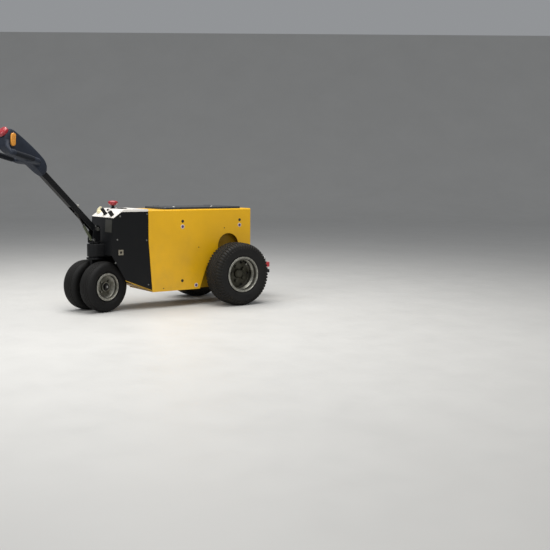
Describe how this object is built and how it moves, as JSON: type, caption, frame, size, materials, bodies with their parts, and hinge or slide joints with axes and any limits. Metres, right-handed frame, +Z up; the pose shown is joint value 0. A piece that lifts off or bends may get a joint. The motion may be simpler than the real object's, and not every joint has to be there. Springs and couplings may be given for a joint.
{
  "type": "walk-behind electric tow tug",
  "caption": "Walk-behind electric tow tug: slim yellow body on big drive wheels, folded black nose, steered twin wheels under a tiller, hinged battery lid and a rear pin coupling.",
  "frame": {"origin": "on the floor under the middle of the tug's bounding box, tyres standing on z = 0", "axes": "+X towards the nose and the tiller, along the tug's length; +Y to the tug's left; +Z up"},
  "size_m": [1.9758, 0.695, 1.1043],
  "materials": {
    "yellow_paint": "semi-gloss powder coat",
    "black_paint": "satin powder coat",
    "white_plate": "semi-gloss paint",
    "lid_paint": "gloss paint",
    "grey_plate": "brushed",
    "axle_paint": "satin paint",
    "battery_case": "moulded",
    "bright_steel": "zinc plated",
    "rim_steel": "galvanised",
    "tyre_rubber": "moulded rubber",
    "spring_paint": "satin paint",
    "black_plastic": "moulded, fine grain",
    "key_plastic": "moulded",
    "red_plastic": "moulded",
    "red_paint": "semi-gloss paint",
    "throttle_plastic": "moulded",
    "lamp_red": "moulded lens"
  },
  "bodies": {
    "chassis": {"chassis_frame": "yellow_paint", "side_cover_left": "yellow_paint", "side_cover_right": "yellow_paint", "rear_panel": "yellow_paint", "top_plate": "yellow_paint", "nose_shell": "black_paint", "instrument_plate": "white_plate", "key_switch": "key_plastic", "battery_gauge": "black_plastic", "hour_meter": "black_plastic", "stop_button": "red_plastic", "charge_flap": "black_plastic", "front_plate": "grey_plate", "eye_plate": "grey_plate", "battery_block": "battery_case", "drive_axle": "axle_paint", "drive_motor": "black_paint", "steering_head": "black_paint", "tow_bracket": "black_paint", "tow_jaw": "black_paint", "tow_jaw_top": "red_paint", "tow_pin": "bright_steel", "tail_light_left": "lamp_red", "tail_light_right": "lamp_red", "lid_hinge": "black_paint"},
    "lid": {"battery_lid": "lid_paint"},
    "steering": {"steering_fork": "black_paint", "tiller_clevis": "black_paint", "front_axle": "bright_steel", "tiller_pin": "bright_steel", "spring_pin": "bright_steel"},
    "twin_wheels": {"front_tyre_left": "tyre_rubber", "front_tyre_right": "tyre_rubber", "front_rim_left": "rim_steel", "front_rim_right": "rim_steel"},
    "drive_wheel_left": {"rear_tyre_left": "tyre_rubber", "rear_rim_left": "rim_steel"},
    "drive_wheel_right": {"rear_tyre_right": "tyre_rubber", "rear_rim_right": "rim_steel"},
    "tiller": {"tiller_arm": "black_paint", "tiller_head": "black_plastic", "throttle": "throttle_plastic", "reverse_button": "red_plastic"},
    "spring_cylinder": {"spring_tube_body": "spring_paint"},
    "spring_piston": {"spring_rod": "bright_steel"}
  },
  "joints": [
    {"name": "drive_wheel_left_spin", "type": "hinge", "parent": "chassis", "child": "drive_wheel_left", "pos_m": [-0.5479, 0.265, 0.203], "axis": [0, 1, 0], "continuous": true},
    {"name": "drive_wheel_right_spin", "type": "hinge", "parent": "chassis", "child": "drive_wheel_right", "pos_m": [-0.5479, -0.265, 0.203], "axis": [0, 1, 0], "continuous": true},
    {"name": "steering", "type": "hinge", "parent": "chassis", "child": "steering", "pos_m": [0.3291, 0, 0.419], "axis": [0, 0, 1], "range_deg": [-95, 65]},
    {"name": "twin_wheels_spin", "type": "hinge", "parent": "steering", "child": "twin_wheels", "pos_m": [0.3291, 0, 0.155], "axis": [-0.2588, 0.9659, 0], "continuous": true},
    {"name": "tiller_tilt", "type": "hinge", "parent": "steering", "child": "tiller", "pos_m": [0.3291, 0, 0.505], "axis": [0.2588, -0.9659, 0], "range_deg": [-34, 40]},
    {"name": "lid_hinge_turn", "type": "hinge", "parent": "chassis", "child": "lid", "pos_m": [-0.3719, -0.145, 0.629], "axis": [1, 0, 0], "range_deg": [0, 95]},
    {"name": "spring_swing", "type": "hinge", "parent": "steering", "child": "spring_cylinder", "pos_m": [0.35422, 0.00673, 0.441], "axis": [0.2588, -0.9659, 0], "range_deg": [-28.47, 33.32]},
    {"name": "spring_stroke", "type": "slide", "parent": "spring_cylinder", "child": "spring_piston", "axis": [0.5358, 0.1436, 0.8321], "range_m": [-0.03267, 0.03826]}
  ],
  "couplings": [
    {"joint": "spring_swing", "follows": "tiller_tilt", "ratio": 0.80788},
    {"joint": "spring_stroke", "follows": "tiller_tilt", "m_per_rad": 0.053377}
  ]
}
